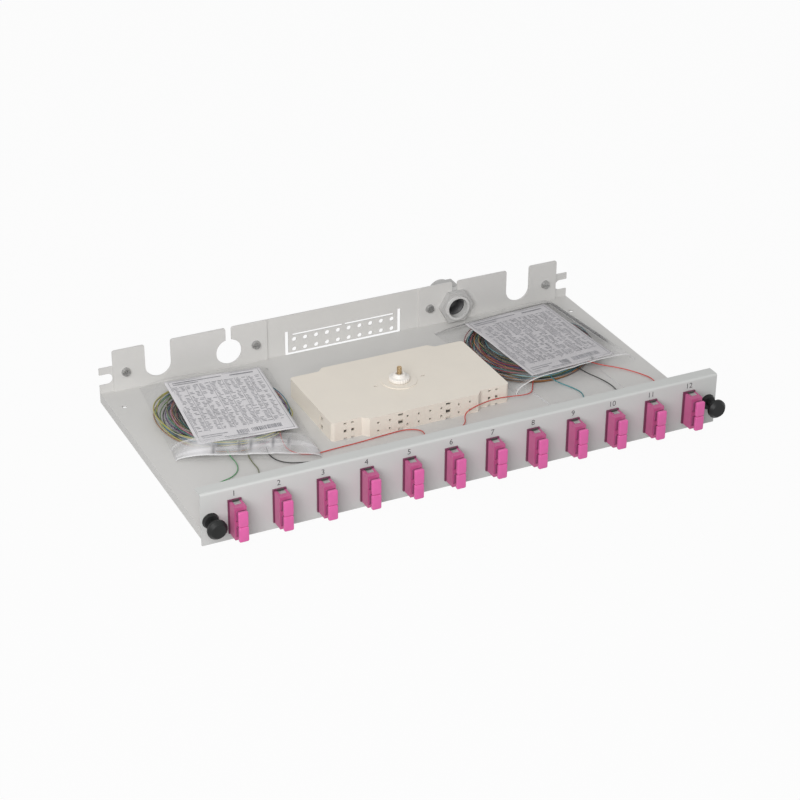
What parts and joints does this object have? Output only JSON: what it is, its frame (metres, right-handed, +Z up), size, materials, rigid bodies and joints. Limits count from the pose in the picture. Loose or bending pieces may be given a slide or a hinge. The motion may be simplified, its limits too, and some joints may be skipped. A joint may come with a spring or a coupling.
{
  "type": "sliding fibre patch panel",
  "caption": "Slide-out tray of a rack fibre patch panel: capped duplex couplers across the front, push latches at its ends, a splice cassette, bagged pigtails and a rear cable gland.",
  "frame": {"origin": "middle of the front plate's lower edge, halfway through the plate's thickness", "axes": "+X along the front plate, to the right as seen from the front; +Y to the back; +Z up"},
  "size_m": [0.441, 0.2829, 0.0455],
  "materials": {
    "painted_steel": "smooth light grey powder coat, half gloss",
    "screw_steel": "blackened steel",
    "clip_steel": "bright spring steel",
    "latch_plastic": "black nylon, slight gloss",
    "gland_plastic": "mid grey nylon",
    "seal_rubber": "black rubber",
    "cassette_plastic": "ivory moulded plastic",
    "stud_brass": "turned brass",
    "nut_plastic": "white nylon",
    "bag_film": "clear polythene film",
    "paper": "white paper with dark printed lines",
    "coiled_fibre": "bundle of coloured fibres",
    "coupler_plastic": "magenta moulded plastic",
    "cap_plastic": "bright pink moulded plastic",
    "connector_plastic": "magenta moulded plastic",
    "fibre_green": "green fibre coating",
    "fibre_olive": "olive fibre coating",
    "fibre_black": "black fibre coating",
    "fibre_red": "red fibre coating",
    "fibre_teal": "teal fibre coating"
  },
  "bodies": {
    "drawer": {"tray": "painted_steel", "front_panel": "painted_steel", "left_gland_plate": "painted_steel", "right_gland_plate": "painted_steel", "plate_screws": "screw_steel", "adapter_clips": "clip_steel", "left_latch_grommet": "latch_plastic", "right_latch_grommet": "latch_plastic", "gland_body": "gland_plastic", "gland_locknut": "gland_plastic", "gland_seal": "seal_rubber", "lower_splice_tray": "cassette_plastic", "upper_splice_tray": "cassette_plastic", "splice_cover": "cassette_plastic", "cassette_stud": "stud_brass", "left_bag": "bag_film", "right_bag": "bag_film", "left_label": "paper", "right_label": "paper", "left_pigtail_coil": "coiled_fibre", "right_pigtail_coil": "coiled_fibre", "adapters": "coupler_plastic", "rear_dust_caps": "cap_plastic", "pigtail_connectors": "connector_plastic", "pigtail_01": "fibre_green", "pigtail_02": "fibre_olive", "pigtail_04": "fibre_black", "pigtail_11": "fibre_black", "pigtail_06": "fibre_red", "pigtail_07": "fibre_red", "pigtail_12": "fibre_red", "pigtail_10": "fibre_teal"},
    "upper_cap_01": {"upper_cap_01": "cap_plastic"},
    "upper_cap_02": {"upper_cap_02": "cap_plastic"},
    "upper_cap_03": {"upper_cap_03": "cap_plastic"},
    "upper_cap_04": {"upper_cap_04": "cap_plastic"},
    "upper_cap_05": {"upper_cap_05": "cap_plastic"},
    "upper_cap_06": {"upper_cap_06": "cap_plastic"},
    "upper_cap_07": {"upper_cap_07": "cap_plastic"},
    "upper_cap_08": {"upper_cap_08": "cap_plastic"},
    "upper_cap_09": {"upper_cap_09": "cap_plastic"},
    "upper_cap_10": {"upper_cap_10": "cap_plastic"},
    "upper_cap_11": {"upper_cap_11": "cap_plastic"},
    "upper_cap_12": {"upper_cap_12": "cap_plastic"},
    "lower_cap_01": {"lower_cap_01": "cap_plastic"},
    "lower_cap_02": {"lower_cap_02": "cap_plastic"},
    "lower_cap_03": {"lower_cap_03": "cap_plastic"},
    "lower_cap_04": {"lower_cap_04": "cap_plastic"},
    "lower_cap_05": {"lower_cap_05": "cap_plastic"},
    "lower_cap_06": {"lower_cap_06": "cap_plastic"},
    "lower_cap_07": {"lower_cap_07": "cap_plastic"},
    "lower_cap_08": {"lower_cap_08": "cap_plastic"},
    "lower_cap_09": {"lower_cap_09": "cap_plastic"},
    "lower_cap_10": {"lower_cap_10": "cap_plastic"},
    "lower_cap_11": {"lower_cap_11": "cap_plastic"},
    "lower_cap_12": {"lower_cap_12": "cap_plastic"},
    "left_plunger": {"left_latch_plunger": "latch_plastic"},
    "right_plunger": {"right_latch_plunger": "latch_plastic"},
    "nut": {"thumb_nut": "nut_plastic"},
    "gland_cap": {"gland_cap": "gland_plastic"}
  },
  "joints": [
    {"name": "upper_cap_01_pull", "type": "slide", "parent": "drawer", "child": "upper_cap_01", "axis": [0, -1, 0], "range_m": [0, 0.02]},
    {"name": "upper_cap_02_pull", "type": "slide", "parent": "drawer", "child": "upper_cap_02", "axis": [0, -1, 0], "range_m": [0, 0.02]},
    {"name": "upper_cap_03_pull", "type": "slide", "parent": "drawer", "child": "upper_cap_03", "axis": [0, -1, 0], "range_m": [0, 0.02]},
    {"name": "upper_cap_04_pull", "type": "slide", "parent": "drawer", "child": "upper_cap_04", "axis": [0, -1, 0], "range_m": [0, 0.02]},
    {"name": "upper_cap_05_pull", "type": "slide", "parent": "drawer", "child": "upper_cap_05", "axis": [0, -1, 0], "range_m": [0, 0.02]},
    {"name": "upper_cap_06_pull", "type": "slide", "parent": "drawer", "child": "upper_cap_06", "axis": [0, -1, 0], "range_m": [0, 0.02]},
    {"name": "upper_cap_07_pull", "type": "slide", "parent": "drawer", "child": "upper_cap_07", "axis": [0, -1, 0], "range_m": [0, 0.02]},
    {"name": "upper_cap_08_pull", "type": "slide", "parent": "drawer", "child": "upper_cap_08", "axis": [0, -1, 0], "range_m": [0, 0.02]},
    {"name": "upper_cap_09_pull", "type": "slide", "parent": "drawer", "child": "upper_cap_09", "axis": [0, -1, 0], "range_m": [0, 0.02]},
    {"name": "upper_cap_10_pull", "type": "slide", "parent": "drawer", "child": "upper_cap_10", "axis": [0, -1, 0], "range_m": [0, 0.02]},
    {"name": "upper_cap_11_pull", "type": "slide", "parent": "drawer", "child": "upper_cap_11", "axis": [0, -1, 0], "range_m": [0, 0.02]},
    {"name": "upper_cap_12_pull", "type": "slide", "parent": "drawer", "child": "upper_cap_12", "axis": [0, -1, 0], "range_m": [0, 0.02]},
    {"name": "lower_cap_01_pull", "type": "slide", "parent": "drawer", "child": "lower_cap_01", "axis": [0, -1, 0], "range_m": [0, 0.02]},
    {"name": "lower_cap_02_pull", "type": "slide", "parent": "drawer", "child": "lower_cap_02", "axis": [0, -1, 0], "range_m": [0, 0.02]},
    {"name": "lower_cap_03_pull", "type": "slide", "parent": "drawer", "child": "lower_cap_03", "axis": [0, -1, 0], "range_m": [0, 0.02]},
    {"name": "lower_cap_04_pull", "type": "slide", "parent": "drawer", "child": "lower_cap_04", "axis": [0, -1, 0], "range_m": [0, 0.02]},
    {"name": "lower_cap_05_pull", "type": "slide", "parent": "drawer", "child": "lower_cap_05", "axis": [0, -1, 0], "range_m": [0, 0.02]},
    {"name": "lower_cap_06_pull", "type": "slide", "parent": "drawer", "child": "lower_cap_06", "axis": [0, -1, 0], "range_m": [0, 0.02]},
    {"name": "lower_cap_07_pull", "type": "slide", "parent": "drawer", "child": "lower_cap_07", "axis": [0, -1, 0], "range_m": [0, 0.02]},
    {"name": "lower_cap_08_pull", "type": "slide", "parent": "drawer", "child": "lower_cap_08", "axis": [0, -1, 0], "range_m": [0, 0.02]},
    {"name": "lower_cap_09_pull", "type": "slide", "parent": "drawer", "child": "lower_cap_09", "axis": [0, -1, 0], "range_m": [0, 0.02]},
    {"name": "lower_cap_10_pull", "type": "slide", "parent": "drawer", "child": "lower_cap_10", "axis": [0, -1, 0], "range_m": [0, 0.02]},
    {"name": "lower_cap_11_pull", "type": "slide", "parent": "drawer", "child": "lower_cap_11", "axis": [0, -1, 0], "range_m": [0, 0.02]},
    {"name": "lower_cap_12_pull", "type": "slide", "parent": "drawer", "child": "lower_cap_12", "axis": [0, -1, 0], "range_m": [0, 0.02]},
    {"name": "left_latch_push", "type": "slide", "parent": "drawer", "child": "left_plunger", "axis": [0, 1, 0], "range_m": [0, 0.006]},
    {"name": "right_latch_push", "type": "slide", "parent": "drawer", "child": "right_plunger", "axis": [0, 1, 0], "range_m": [0, 0.006]},
    {"name": "nut_turn", "type": "hinge", "parent": "drawer", "child": "nut", "pos_m": [0, 0.1265, 0.0275], "axis": [0, 0, 1], "continuous": true},
    {"name": "gland_cap_turn", "type": "hinge", "parent": "drawer", "child": "gland_cap", "pos_m": [0.1049, 0.252, 0.0232], "axis": [0, 1, 0], "continuous": true}
  ]
}
